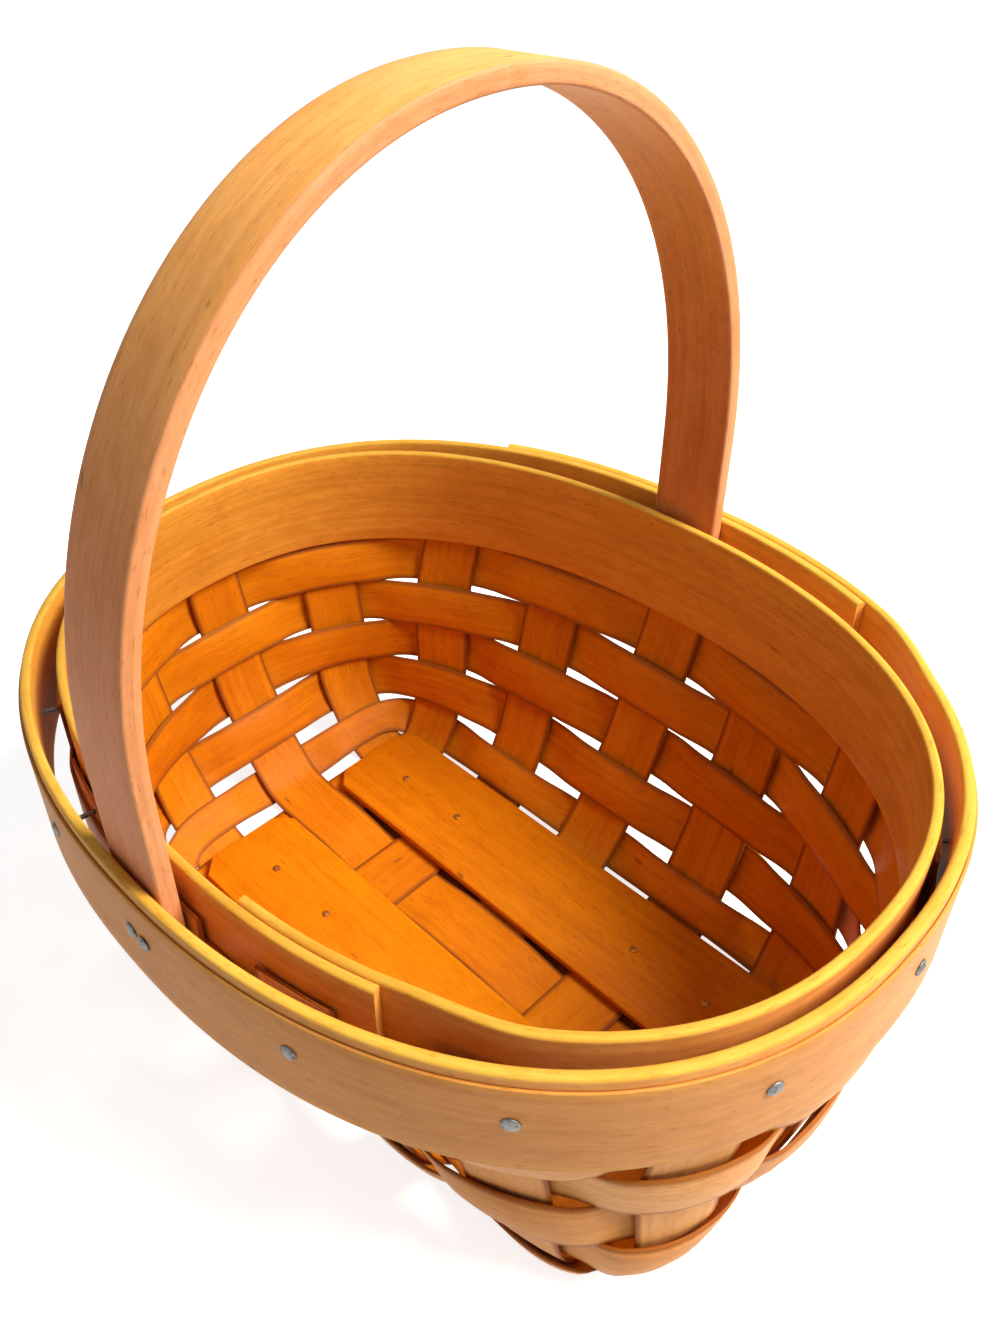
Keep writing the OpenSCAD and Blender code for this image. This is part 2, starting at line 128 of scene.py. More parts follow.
# Derived heights and the oval in the middle of the stakes at the rim
STAKE_LIFT = STAKE_T + PLAY
FLOOR_Z = STAKE_LIFT + STAKE_T / 2
SLAT_Z = FLOOR_Z + STAKE_LIFT + STAKE_T / 2 + PLAY / 2
BAND_BOTTOM = RIM_HEIGHT - BAND_HEIGHT
OUTER_BAND_BOTTOM = RIM_HEIGHT - OUTER_BAND_HEIGHT
STAKE_TOP = RIM_HEIGHT - STAKE_TOP_DROP
TACK_Z = RIM_HEIGHT - TACK_DROP
FIRST_ROW_Z = BAND_BOTTOM - FIRST_ROW_GAP - WEAVER_WIDTH / 2
ROW_PITCH = (FIRST_ROW_Z - LOWEST_ROW_Z + LOWEST_ROW_CLOSENESS) / (ROW_COUNT - 1)
HALF_BODY = STAKE_T / 2 + WEAVER_T + PLAY
FOOT_ROOM = HANDLE_T + FOOT_GAP
RIM_STACK = HALF_BODY + PLAY + OUTER_BAND_T + PLAY + FACING_T
OVAL_A = RIM_LENGTH / 2 - RIM_STACK
OVAL_B = RIM_WIDTH / 2 - RIM_STACK - FOOT_ROOM
SLAT_Y = STAKE_WIDTH / 2 + SLAT_GAP + SLAT_WIDTH / 2

# Fine detail that only this model has: edge rounding, small irregularities and mesh steps
MM = 0.001
STAKE_WOBBLE = 0.35
ROW_WOBBLE = 0.3
SLAT_EDGE_R = 0.5
# Height where the handle's painted top light begins: above it the arch is painted lighter and yellower,
# standing for the key light on its top
PAINTED_TOP_LIGHT_START = 150
STRIP_EDGE_R = 0.25
BAND_EDGE_R = 0.8
EDGE_REACH = 1.6
HANDLE_EDGE_R = 0.7
WEAVE_STEPS = 14
WALL_STEPS = 44
FLOOR_STEP = 2.2
RING_STEP = 1.5
ARCH_STEP = 1.5


# Helpers

def mix(a, b, share):
    return a + (b - a) * share


def clamp(value, low=0.0, high=1.0):
    return min(max(value, low), high)


def smooth_step(value):
    share = clamp(value)
    return share * share * (3 - 2 * share)


def unit(vector):
    return vector / np.linalg.norm(vector)


def signed_pow(base, power):
    return math.copysign(abs(base) ** power, base)


def oval_other(u, a, b, n):
    return b * max(0.0, 1 - (abs(u) / a) ** n) ** (1 / n)


def wobble(value, seed, amount):
    """A slow, repeatable irregularity with a period of one turn of the basket."""
    turn = 2 * math.pi * value / UPRIGHTS
    waves = math.sin(3 * turn + 1.7 * seed) + math.sin(5 * turn + 2.9 * seed)
    waves += math.sin(7 * turn + 4.3 * seed)
    return amount * waves / 3


# The woven wall: travel counts uprights round the basket, rise goes from the floor to the bands and the rim

def wall_z(rise):
    if rise <= 1:
        return FLOOR_Z + (BAND_BOTTOM - FLOOR_Z) * max(rise, 0) ** WALL_ROUNDNESS
    return BAND_BOTTOM + (rise - 1) * BAND_HEIGHT


def wall_rise(z):
    if z <= BAND_BOTTOM:
        return (max(z - FLOOR_Z, 0) / (BAND_BOTTOM - FLOOR_Z)) ** (1 / WALL_ROUNDNESS)
    return 1 + (z - BAND_BOTTOM) / BAND_HEIGHT


def cross_x(place, rise):
    """Where a cross stake meets the long walls; the places between two stakes count in parts."""
    r = clamp(rise)
    drift = np.interp(place, list(STAKE_DRIFT), list(STAKE_DRIFT.values()))
    return place * mix(CROSS_PITCH, CROSS_PITCH_RIM, r) + mix(FLOOR_SHIFT, RIM_SHIFT, r) + r * drift


def quarter_point(w, rise, end):
    """One quarter of the wall's outline; the end is 1 at +X and -1 at -X."""
    r = clamp(rise)
    swelling = math.sin(math.pi * r)
    swell = FRONT_SWELL if end > 0 else BACK_SWELL
    a = mix(FLOOR_LENGTH / 2 + end * FLOOR_SHIFT, OVAL_A, r) + swell * swelling
    b = mix(FLOOR_WIDTH / 2, OVAL_B, r)
    n = mix(RIM_SQUARENESS, FLOOR_SQUARENESS, (1 - r) ** CORNER_EASE)
    long_gap = mix(LONG_PITCH, LONG_PITCH_RIM, r)
    if w <= 1:
        return oval_other(w * long_gap, b, a, n), w * long_gap
    x = end * cross_x(end * (QUARTER_TURN - max(w, 2)), rise)
    if w >= 2:
        return x, oval_other(x, a, b, n)
    low = math.asin((long_gap / b) ** (n / 2))
    high = math.acos((x / a) ** (n / 2))
    angle = mix(low, high, w - 1)
    return a * math.cos(angle) ** (2 / n), b * math.sin(angle) ** (2 / n)


def wall_point(travel, rise):
    t = travel % UPRIGHTS
    quarter = int(t // QUARTER_TURN)
    back = quarter in (1, 2)
    w = t - quarter * QUARTER_TURN if quarter % 2 == 0 else (quarter + 1) * QUARTER_TURN - t
    x, y = quarter_point(w, rise, -1 if back else 1)
    return np.array([-x if back else x, -y if quarter >= 2 else y, wall_z(rise)])


def wall_up(travel, rise):
    step = 0.004
    return (wall_point(travel, rise + step) - wall_point(travel, rise - step)) / (2 * step)


def wall_normal(travel, rise):
    step = 0.02
    along = wall_point(travel + step, rise) - wall_point(travel - step, rise)
    return unit(np.cross(along, wall_up(travel, rise)))


# Meshes swept from rounded sections

def rounded_section(width, thickness, radius, cuts):
    """Loop of (across, out) pairs round a strip's section, starting at one edge of its outer face."""
    half_w = width / 2
    half_t = thickness / 2
    corners = [(1, 1), (1, -1), (-1, -1), (-1, 1)]
    loop = []
    for index, (sx, sy) in enumerate(corners):
        start = math.radians(90 - 90 * index)
        for step in range(4):
            angle = start - math.radians(30 * step)
            x = sx * (half_w - radius) + radius * math.cos(angle)
            y = sy * (half_t - radius) + radius * math.sin(angle)
            loop.append((x, y))
        if index in (1, 3):
            run = 2 * (half_w - radius)
            side = 1 if index == 3 else -1
            for cut in range(1, cuts):
                loop.append((side * (-half_w + radius + run * cut / cuts), side * half_t))
    return loop


def section_lengths(section):
    """Distance round the section to each of its points, and round the whole loop."""
    points = np.array(section + section[:1])
    steps = np.linalg.norm(np.diff(points, axis=0), axis=1)
    return np.concatenate([[0], np.cumsum(steps)])


def edge_share(section):
    """How close each point of the section is to a long edge: 1 on the edge, 0 away from it."""
    half = max(x for x, _ in section)
    return [clamp(1 - (half - abs(x)) / EDGE_REACH) for x, _ in section]


def inner_share(section):
    """Which face each point of the section lies on: 0 outside, 1 towards the inside of the basket."""
    half = max(y for _, y in section)
    return [clamp(0.5 - y / (2 * half)) for _, y in section]


def sweep_mesh(name, rings, section, closed, seed):
    """A closed mesh through rings of points, with grain coordinates along and round the strip."""
    rings = np.array(rings) * MM
    stations, count, _ = rings.shape
    vertices = rings.reshape(-1, 3)
    middles = rings.mean(axis=1)
    ends = np.vstack([middles, middles[:1]]) if closed else middles
    along = np.concatenate([[0], np.cumsum(np.linalg.norm(np.diff(ends, axis=0), axis=1))])
    round_it = section_lengths(section) * MM
    faces = []
    uvs = []
    for i in range(stations if closed else stations - 1):
        j = (i + 1) % stations
        for k in range(count):
            m = (k + 1) % count
            faces.append((i * count + k, i * count + m, j * count + m, j * count + k))
            uvs += [(along[i], round_it[k]), (along[i], round_it[k + 1])]
            uvs += [(along[i + 1], round_it[k + 1]), (along[i + 1], round_it[k])]
    if not closed:
        last = (stations - 1) * count
        faces.append(tuple(range(count - 1, -1, -1)))
        faces.append(tuple(range(last, last + count)))
        cap = [(x * MM, y * MM) for x, y in section]
        uvs += list(reversed(cap)) + cap
    edges = np.tile(edge_share(section), stations)
    inner = np.tile(inner_share(section), stations)
    return wood_mesh(name, vertices, faces, uvs, {"seed": seed, "edge": edges, "inner": inner})


def wood_mesh(name, vertices, faces, uvs, marks):
    """A mesh with grain coordinates and named marks on its points, which the wood's material reads."""
    mesh = bpy.data.meshes.new(name)
    mesh.from_pydata([tuple(v) for v in vertices], [], faces)
    layer = mesh.uv_layers.new(name="grain")
    layer.data.foreach_set("uv", np.array(uvs, np.float32).ravel())
    for label, values in marks.items():
        attribute = mesh.attributes.new(label, "FLOAT", "POINT")
        attribute.data.foreach_set("value", np.broadcast_to(np.float32(values), len(vertices)))
    mesh.validate()
    outward(mesh)
    mesh.shade_smooth()
    mesh.set_sharp_from_angle(angle=math.radians(50))
    return mesh


def outward(mesh):
    """Turns all faces outwards when the mesh's volume comes out negative."""
    volume = 0.0
    for polygon in mesh.polygons:
        corner = mesh.vertices[polygon.vertices[0]].co
        volume += corner.dot(polygon.normal) * polygon.area
    if volume < 0:
        mesh.flip_normals()


def piece(name, mesh, material, slot, *nodes):
    """Adds a finished piece that stands for CAD nodes and rides on the one body."""
    thing = bpy.data.objects.new(name, mesh)
    bpy.context.scene.collection.objects.link(thing)
    mesh.materials.append(material)
    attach(thing, "root")
    if nodes:
        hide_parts(*nodes)
    return thing


# Stakes

STAKE_SECTION = rounded_section(STAKE_WIDTH, STAKE_T, STRIP_EDGE_R, 6)


def stake_wall_ring(travel, rise, side, seed):
    step = 0.1
    middle = wall_point(travel, rise)
    ahead = np.linalg.norm(wall_point(travel + step, rise) - middle) / step
    behind = np.linalg.norm(wall_point(travel - step, rise) - middle) / step
    shift = wobble(8 * rise, seed, STAKE_WOBBLE) * clamp(3 * rise)
    found = {}
    ring = []
    for across, out in STAKE_SECTION:
        if across not in found:
            reach = side * (across + shift)
            t = travel + reach / (ahead if reach > 0 else behind)
            found[across] = (wall_point(t, rise), wall_normal(t, rise))
        point, normal = found[across]
        ring.append(point + normal * out)
    return ring


def stake_floor_ring(middle, along):
    return [middle + along * across + np.array([0, 0, -out]) for across, out in STAKE_SECTION]


def stake_rises(first):
    flare = [mix(first, 1, i / WALL_STEPS) for i in range(WALL_STEPS)]
    upright = [mix(1, wall_rise(STAKE_TOP), i / 6) for i in range(7)]
    return flare + upright


def eased(rings):
    """Softens the bend where a stake turns from the floor to the wall."""
    rings = np.array(rings)
    for _ in range(3):
        inner = (rings[:-2] + 2 * rings[1:-1] + rings[2:]) / 4
        rings[1:-1] = inner
    return rings


def long_floor_z(x, index):
    """Height of a lengthwise stake on the floor, over or under each cross stake in turn."""
    nearest = clamp(round((x - FLOOR_SHIFT) / CROSS_PITCH), -OUTER_CROSS, OUTER_CROSS)
    over = 1 if (nearest + index) % 2 == 0 else -1
    away = abs(x - cross_x(nearest, 0)) - STAKE_WIDTH / 2
    half_gap = (CROSS_PITCH - STAKE_WIDTH) / 2
    return FLOOR_Z + over * STAKE_LIFT * math.cos(math.pi / 2 * clamp(away / half_gap))


def long_stake_mesh(index, seed):
    rises = stake_rises(wall_rise(FLOOR_Z + 2 * STAKE_LIFT))
    reach = OUTER_CROSS * CROSS_PITCH + STAKE_WIDTH / 2
    count = round(2 * reach / FLOOR_STEP)
    xs = [FLOOR_SHIFT + mix(-reach, reach, i / count) for i in range(count + 1)]
    width_way = np.array([0, 1, 0])
    rings = [stake_wall_ring(UPRIGHTS / 2 - index, r, -1, seed) for r in reversed(rises)]
    for x in xs:
        rings.append(stake_floor_ring(np.array([x, index * LONG_PITCH, long_floor_z(x, index)]), width_way))
    rings += [stake_wall_ring(index, r, 1, seed + 3) for r in rises]
    return sweep_mesh("stake", eased(rings), STAKE_SECTION, False, seed)


def cross_stake_mesh(index, seed):
    rises = stake_rises(CROSS_FIRST_RISE)
    reach = LONG_PITCH + STAKE_WIDTH / 2
    count = round(2 * reach / FLOOR_STEP)
    ys = [mix(-reach, reach, i / count) for i in range(count + 1)]
    width_way = np.array([-1, 0, 0])
    rings = [stake_wall_ring(UPRIGHTS * 3 / 4 + index, r, -1, seed) for r in reversed(rises)]
    rings += [stake_floor_ring(np.array([cross_x(index, 0), y, FLOOR_Z]), width_way) for y in ys]
    rings += [stake_wall_ring(QUARTER_TURN - index, r, 1, seed + 3) for r in rises]
    return sweep_mesh("stake", eased(rings), STAKE_SECTION, False, seed)


# Woven rows

WEAVER_SECTION = rounded_section(WEAVER_WIDTH, WEAVER_T, STRIP_EDGE_R, 4)
LOWEST_SECTION = rounded_section(LOWEST_ROW_WIDTH, WEAVER_T, STRIP_EDGE_R, 4)


def row_z(row):
    if row == 0:
        return BAND_BOTTOM + 2 * PLAY + WEAVER_WIDTH / 2
    if row == ROW_COUNT:
        return LOWEST_ROW_Z
    return FIRST_ROW_Z - (row - 1) * ROW_PITCH


def row_side(row):
    return -1 if row % 2 == 0 else 1


def row_offset(travel, row):
    """Distance of a row from the stakes' middle: in front of one upright, behind the next."""
    least = (STAKE_T + WEAVER_T) / 2 + PLAY / 2
    wave = math.cos(math.pi * travel)
    flat_wave = math.sin(math.pi / 2 * clamp(2 * wave, -1, 1))
    slack = 0 if row == 0 else WEAVE_SLACK
    return row_side(row) * (least * flat_wave + slack * wave)


def row_section(row):
    return LOWEST_SECTION if row == ROW_COUNT else WEAVER_SECTION


def row_ring(travel, row):
    z = row_z(row) + (wobble(travel, row, ROW_WOBBLE) if row else 0)
    slope = unit(wall_up(travel, wall_rise(z)))[2]
    offset = row_offset(travel, row)
    crown = WEAVE_CROWN * row_side(row) * math.cos(math.pi * travel) if row else 0
    section = row_section(row)
    half = max(across for across, _ in section)
    found = {}
    ring = []
    for across, out in section:
        if across not in found:
            rise = wall_rise(z - across * slope)
            found[across] = (wall_point(travel, rise), wall_normal(travel, rise))
        point, normal = found[across]
        swelling = crown * (1 - (across / half) ** 2)
        ring.append(point + normal * (offset + swelling + out))
    return ring


def row_mesh(row, seed):
    rings = [row_ring(i / WEAVE_STEPS, row) for i in range(UPRIGHTS * WEAVE_STEPS)]
    return sweep_mesh("row", rings, row_section(row), True, seed)


# Rim bands

def oval_point(angle):
    a = math.radians(angle)
    return np.array([
        OVAL_A * signed_pow(math.cos(a), 2 / RIM_SQUARENESS),
        OVAL_B * signed_pow(math.sin(a), 2 / RIM_SQUARENESS),
    ])


def oval_normal(point):
    power = RIM_SQUARENESS - 1
    return unit(np.array([
        signed_pow(point[0], power) / OVAL_A ** RIM_SQUARENESS,
        signed_pow(point[1], power) / OVAL_B ** RIM_SQUARENESS,
    ]))


def lap_share(angle):
    return smooth_step((angle + LAP_RUN) / (LAP_RUN - 2))


def outer_band_base(angle):
    room = FOOT_ROOM * math.sin(math.radians(angle)) ** 2
    climb = (OUTER_BAND_T + PLAY) * lap_share(angle - 360 - OUTER_LAP_START)
    return HALF_BODY + PLAY + room + climb


def inner_band_base(angle):
    return -HALF_BODY - PLAY - (INNER_BAND_T + PLAY) * lap_share(INNER_LAP_END - angle)


def band_mesh(name, first, last, base, thickness, bottom, top, radius, seed):
    """A bent strip between two angles whose inner face lies at the given offset from the oval."""
    section = rounded_section(top - bottom, thickness, radius, 6)
    count = math.ceil((last - first) / RING_STEP)
    rings = []
    for i in range(count + 1):
        angle = mix(first, last, i / count)
        point = oval_point(angle)
        normal = oval_normal(point)
        middle = base(angle) + thickness / 2
        ring = []
        for across, out in section:
            x, y = point + normal * (middle + out)
            ring.append((x, y, (top + bottom) / 2 - across))
        rings.append(ring)
    return sweep_mesh(name, rings, section, False, seed)


# Handle

LEG_INNER = OVAL_B + HALF_BODY + PLAY
LEG_OUTER = LEG_INNER + HANDLE_T
ARCH_Z = RIM_HEIGHT + HANDLE_LEG_RISE


def arch_station(angle):
    """Point on the arch's outer line and its normal, in the plane of the handle."""
    a = math.radians(angle)
    rise = HANDLE_TOP - ARCH_Z
    y = LEG_OUTER * signed_pow(math.cos(a), 2 / HANDLE_SQUARENESS)
    z = rise * signed_pow(math.sin(a), 2 / HANDLE_SQUARENESS)
    power = HANDLE_SQUARENESS - 1
    normal = unit(np.array([
        signed_pow(y, power) / LEG_OUTER ** HANDLE_SQUARENESS,
        signed_pow(z, power) / rise ** HANDLE_SQUARENESS,
    ]))
    return np.array([y, z + ARCH_Z]), normal


def handle_mesh(seed):
    section = rounded_section(HANDLE_WIDTH, HANDLE_T, HANDLE_EDGE_R, 6)
    foot_z = RIM_HEIGHT - HANDLE_FOOT_DEPTH
    leg_heights = [mix(foot_z, ARCH_Z, i / 10) for i in range(10)]
    stations = [(np.array([LEG_OUTER, z]), np.array([1.0, 0.0])) for z in leg_heights]
    count = round(180 / ARCH_STEP)
    stations += [arch_station(180 * i / count) for i in range(count + 1)]
    stations += [(np.array([-LEG_OUTER, z]), np.array([-1.0, 0.0])) for z in reversed(leg_heights)]
    rings = []
    for point, normal in stations:
        ring = []
        for across, out in section:
            y, z = point + normal * (out - HANDLE_T / 2)
            ring.append((HANDLE_X + across, y, z))
        rings.append(ring)
    return sweep_mesh("handle", rings, section, False, seed)


# Floor slats

def slat_outline():
    x = SLAT_LENGTH / 2
    y = SLAT_WIDTH / 2
    c = SLAT_CORNER
    return [
        (x, y - c), (x - c, y), (c - x, y), (-x, y - c),
        (-x, c - y), (c - x, -y), (x - c, -y), (x, c - y),
    ]


def slat_mesh(side, seed):
    """A board with softened edges: rings of its outline, drawn in a little at top and bottom."""
    middle_y = side * SLAT_Y
    lower = [(0, SLAT_EDGE_R), (0.15, 0.2), (SLAT_EDGE_R, 0)]
    levels = lower + [(SLAT_T - height, inset) for height, inset in reversed(lower)]
    outline = slat_outline()
    count = len(outline)
    vertices = []
    for height, inset in levels:
        for x, y in outline:
            sx = 1 - inset / (SLAT_LENGTH / 2)
            sy = 1 - inset / (SLAT_WIDTH / 2)
            vertices.append(((FLOOR_SHIFT + x * sx) * MM, (middle_y + y * sy) * MM, (SLAT_Z + height) * MM))
    faces = [tuple(range(count - 1, -1, -1)), tuple(range((len(levels) - 1) * count, len(levels) * count))]
    for level in range(len(levels) - 1):
        for k in range(count):
            m = (k + 1) % count
            base = level * count
            faces.append((base + k, base + m, base + count + m, base + count + k))
    uvs = [(vertices[v][0], vertices[v][1] + vertices[v][2]) for face in faces for v in face]
    edges = [1 if inset == 0 else 0.3 for _, inset in levels for _ in outline]
    return wood_mesh("slat", vertices, faces, uvs, {"seed": seed, "edge": edges, "inner": 1.0})


# Tacks and nails

def lathe_rings(profile, sides):
    turns = [2 * math.pi * i / sides for i in range(sides)]
    return [[(r * math.cos(a), r * math.sin(a), z) for a in turns] for r, z in profile]


def tack_profile(head_d, head_h, shank_d, length):
    """From the point to the crown: radius and height over the face that the head sits on."""
    r = head_d / 2
    s = shank_d / 2
    return [
        (0.05, -length), (s, -length + 0.4), (s, 0.05), (r * 0.93, 0.05),
        (r, 0.14 * head_h), (r, 0.3 * head_h),
        (r * 0.86, 0.62 * head_h), (r * 0.6, 0.86 * head_h), (r * 0.3, 0.97 * head_h), (0.05, head_h),
    ]


def tacks_mesh(name, places, sides=20):
    """All tacks of a set in one mesh; each place has a profile, a point and the way that its head looks."""
    vertices = []
    faces = []
    for profile, point, way in places:
        turn = Vector(way).to_track_quat("Z", "Y").to_matrix()
        rings = lathe_rings(profile, sides)
        base = len(vertices)
        for ring in rings:
            vertices += [(Vector(point) + turn @ Vector(p)) * MM for p in ring]
        for i in range(len(rings) - 1):
            for k in range(sides):
                a = base + i * sides
                m = (k + 1) % sides
                faces.append((a + k, a + m, a + sides + m, a + sides + k))
        last = base + (len(rings) - 1) * sides
        faces.append(tuple(range(base + sides - 1, base - 1, -1)))
        faces.append(tuple(range(last, last + sides)))
    mesh = bpy.data.meshes.new(name)
    mesh.from_pydata(vertices, [], faces)
    mesh.validate()
    outward(mesh)
    mesh.shade_smooth()
    mesh.set_sharp_from_angle(angle=math.radians(60))
    return mesh


def rim_outside(angle):
    turned = angle if angle > OUTER_LAP_END else angle + 360
    bare = turned > 360 + OUTER_LAP_START - LAP_RUN - FACING_END_GAP
    return outer_band_base(turned) + OUTER_BAND_T + (0 if bare else PLAY + FACING_T)


def rim_inside(angle):
    lapped = INNER_LAP_START < angle < INNER_LAP_END
    return -HALF_BODY - PLAY - INNER_BAND_T - (INNER_BAND_T + PLAY if lapped else 0)


def oval_angle(point):
    power = RIM_SQUARENESS / 2
    across = signed_pow(point[1] / OVAL_B, power)
    along = signed_pow(point[0] / OVAL_A, power)
    return math.degrees(math.atan2(across, along))


def rim_tack_points():
    points = []
    for travel in range(UPRIGHTS):
        if travel % (UPRIGHTS // 2) == QUARTER_TURN:
            continue
        near = travel == 0 or travel > UPRIGHTS / 2
        x, y, _ = wall_point(travel + (TACK_SHIFT / CROSS_PITCH_RIM if near else 0), 2)
        points.append(np.array([x, y]))
    return points


def rim_tack_places():
    places = []
    for point in rim_tack_points():
        normal = oval_normal(point)
        angle = oval_angle(point)
        length = rim_outside(angle) - rim_inside(angle)
        head = point + normal * rim_outside(angle)
        profile = tack_profile(TACK_HEAD_D, TACK_HEAD_H, TACK_SHANK_D, length)
        places.append((profile, (head[0], head[1], TACK_Z), (normal[0], normal[1], 0)))
    return places


def handle_tack_places():
    places = []
    for side in (-1, 1):
        outside = rim_outside(90 * side)
        profile = tack_profile(TACK_HEAD_D, TACK_HEAD_H, TACK_SHANK_D, outside - rim_inside(-90))
        for way in (-1, 1):
            x = HANDLE_X + HANDLE_TACK_X + way * HANDLE_TACK_PITCH / 2
            places.append((profile, (x, side * (OVAL_B + outside), TACK_Z), (0, side, 0)))
    return places


def nail_places():
    profile = tack_profile(NAIL_HEAD_D, NAIL_HEAD_H, NAIL_SHANK_D, SLAT_T + NAIL_REACH)
    xs = (-END_NAIL_X, -CROSS_PITCH, CROSS_PITCH, END_NAIL_X)
    spots = [(FLOOR_SHIFT + x, side * NAIL_Y, SLAT_Z + SLAT_T) for x in xs for side in (-1, 1)]
    return [(profile, spot, (0, 0, 1)) for spot in spots]


# Materials

class NodeMaker:
    """Adds nodes to a material; a socket given as an input is linked, a value is set."""

    def __init__(self, material):
        material.use_nodes = True
        self.tree = material.node_tree
        self.tree.nodes.clear()

    def add(self, kind, inputs=None, **settings):
        made = self.tree.nodes.new(kind)
        for key, value in settings.items():
            setattr(made, key, value)
        for key, value in (inputs or {}).items():
            self.set_input(made.inputs[key], value)
        return made

    def set_input(self, socket, value):
        if isinstance(value, bpy.types.NodeSocket):
            self.tree.links.new(value, socket)
        else:
            socket.default_value = value

    def math(self, operation, a, b=0.0):
        return self.add("ShaderNodeMath", {0: a, 1: b}, operation=operation).outputs[0]

    def blend(self, share, a, b, mode="MIX"):
        made = self.add("ShaderNodeMix", {0: share, 6: a, 7: b}, data_type="RGBA", blend_type=mode)
        return made.outputs[2]

    def stain(self, under, tint, share, amount):
        """Multiplies a colour by a tint where the share is high."""
        return self.blend(self.math("MULTIPLY", share, amount), under, tint, "MULTIPLY")

    def ramp(self, value, low, high):
        made = self.add(
            "ShaderNodeMapRange",
            {"Value": value, "From Min": low, "From Max": high},
            interpolation_type="SMOOTHSTEP",
        )
        return made.outputs[0]

    def noise(self, vector, detail=3.0, roughness=0.55, distortion=0.0):
        made = self.add(
            "ShaderNodeTexNoise",
            {
                "Vector": vector, "Scale": 1.0, "Detail": detail,
                "Roughness": roughness, "Distortion": distortion,
            },
        )
        return made.outputs[0]


def grain_vector(maker, along, across):
    """Grain coordinates in cycles per metre along and across the strip, different on each piece."""
    uv = maker.add("ShaderNodeUVMap", uv_map="grain").outputs[0]
    seed = maker.add("ShaderNodeAttribute", attribute_name="seed").outputs["Fac"]
    parts = maker.add("ShaderNodeSeparateXYZ", {0: uv})
    return maker.add("ShaderNodeCombineXYZ", {
        0: maker.math("MULTIPLY", parts.outputs[0], along),
        1: maker.math("MULTIPLY", parts.outputs[1], across),
        2: maker.math("MULTIPLY", seed, 7.3),
    }).outputs[0]


def colour(red, green, blue):
    return (red, green, blue, 1.0)


def height_blend(maker, low_tone, high_tone, low, high):
    """A tone that turns into another one between two heights in metres; the handle uses it for its painted
    top light.
    """
    place = maker.add("ShaderNodeNewGeometry").outputs["Position"]
    height = maker.add("ShaderNodeSeparateXYZ", {0: place}).outputs[2]
    return maker.blend(maker.ramp(height, low, high), low_tone, high_tone)


def wood_material(name, tone, inner_tint, edge_tone_and_shade, contrast=0.42, roughness=0.5, painted_top_light=None):
    """Varnished wood: streaks, pores, dark flecks, slow colour drift, an inner and an edge tone, which on
    stakes and rows is painted shade; a painted top light can lighten the upper part.
    """
    material = bpy.data.materials.new(name)
    maker = NodeMaker(material)
    streaks = maker.noise(grain_vector(maker, 14, 620), 5.0, 0.6, 0.2)
    pores = maker.noise(grain_vector(maker, 160, 3600), 3.0, 0.6)
    figure = maker.noise(grain_vector(maker, 9, 70), 3.0, 0.5, 0.9)
    drift = maker.noise(grain_vector(maker, 24, 40), 2.0, 0.5)
    mottle = maker.noise(grain_vector(maker, 90, 190), 4.0, 0.65, 0.6)
    ticks = maker.noise(grain_vector(maker, 300, 1700), 2.0, 0.5)
    knots = maker.noise(grain_vector(maker, 120, 330), 1.0, 0.4)
    edge = maker.add("ShaderNodeAttribute", attribute_name="edge").outputs["Fac"]
    inner = maker.add("ShaderNodeAttribute", attribute_name="inner").outputs["Fac"]
    seed = maker.add("ShaderNodeAttribute", attribute_name="seed").outputs["Fac"]
    own = maker.math("FRACT", maker.math("MULTIPLY", seed, 0.618))
    # Painted light: the upper part is blended towards a lighter, yellower tone, where the key light falls on
    # the top
    if painted_top_light:
        tone = height_blend(maker, tone, painted_top_light, PAINTED_TOP_LIGHT_START * MM, HANDLE_TOP * MM)
    tinted = maker.blend(inner, tone, inner_tint, "MULTIPLY")
    # Edge tone: on stakes and rows it is painted shade, dark lines standing for the shadow in the gaps
    # beside each strip; on bands, facing, handle and slats it is the wood's own edge colour
    tinted = maker.blend(maker.ramp(edge, 0.45, 0.8), tinted, edge_tone_and_shade)
    grain = maker.math("ADD", maker.math("MULTIPLY", streaks, 0.5), maker.math("MULTIPLY", pores, 0.25))
    grain = maker.math("ADD", grain, maker.math("MULTIPLY", figure, 0.25))
    tinted = maker.stain(tinted, GRAIN_TINT, maker.ramp(grain, 0.6, 0.38), contrast)
    tinted = maker.stain(tinted, DRIFT_TINT, maker.ramp(drift, 0.4, 0.7), 0.5)
    tinted = maker.stain(tinted, PIECE_TINT, own, 0.8)
    tinted = maker.stain(tinted, DRIFT_TINT, maker.ramp(mottle, 0.42, 0.68), 0.6)
    tinted = maker.stain(tinted, GRAIN_TINT, maker.ramp(ticks, 0.58, 0.74), 0.55)
    tinted = maker.blend(maker.math("MULTIPLY", maker.ramp(knots, 0.77, 0.84), 0.6), tinted, KNOT_BROWN)
    height = maker.math("ADD", maker.math("MULTIPLY", streaks, 0.6), maker.math("MULTIPLY", pores, 0.5))
    bump = maker.add("ShaderNodeBump", {"Height": height, "Strength": 0.3, "Distance": 0.0002})
    shine = maker.math("ADD", maker.math("MULTIPLY", streaks, 0.25), roughness - 0.12)
    shader = maker.add("ShaderNodeBsdfPrincipled", {
        "Base Color": tinted, "Roughness": shine, "Normal": bump.outputs[0], "Specular IOR Level": 0.12,
    })
    maker.add("ShaderNodeOutputMaterial", {"Surface": shader.outputs[0]})
    return material


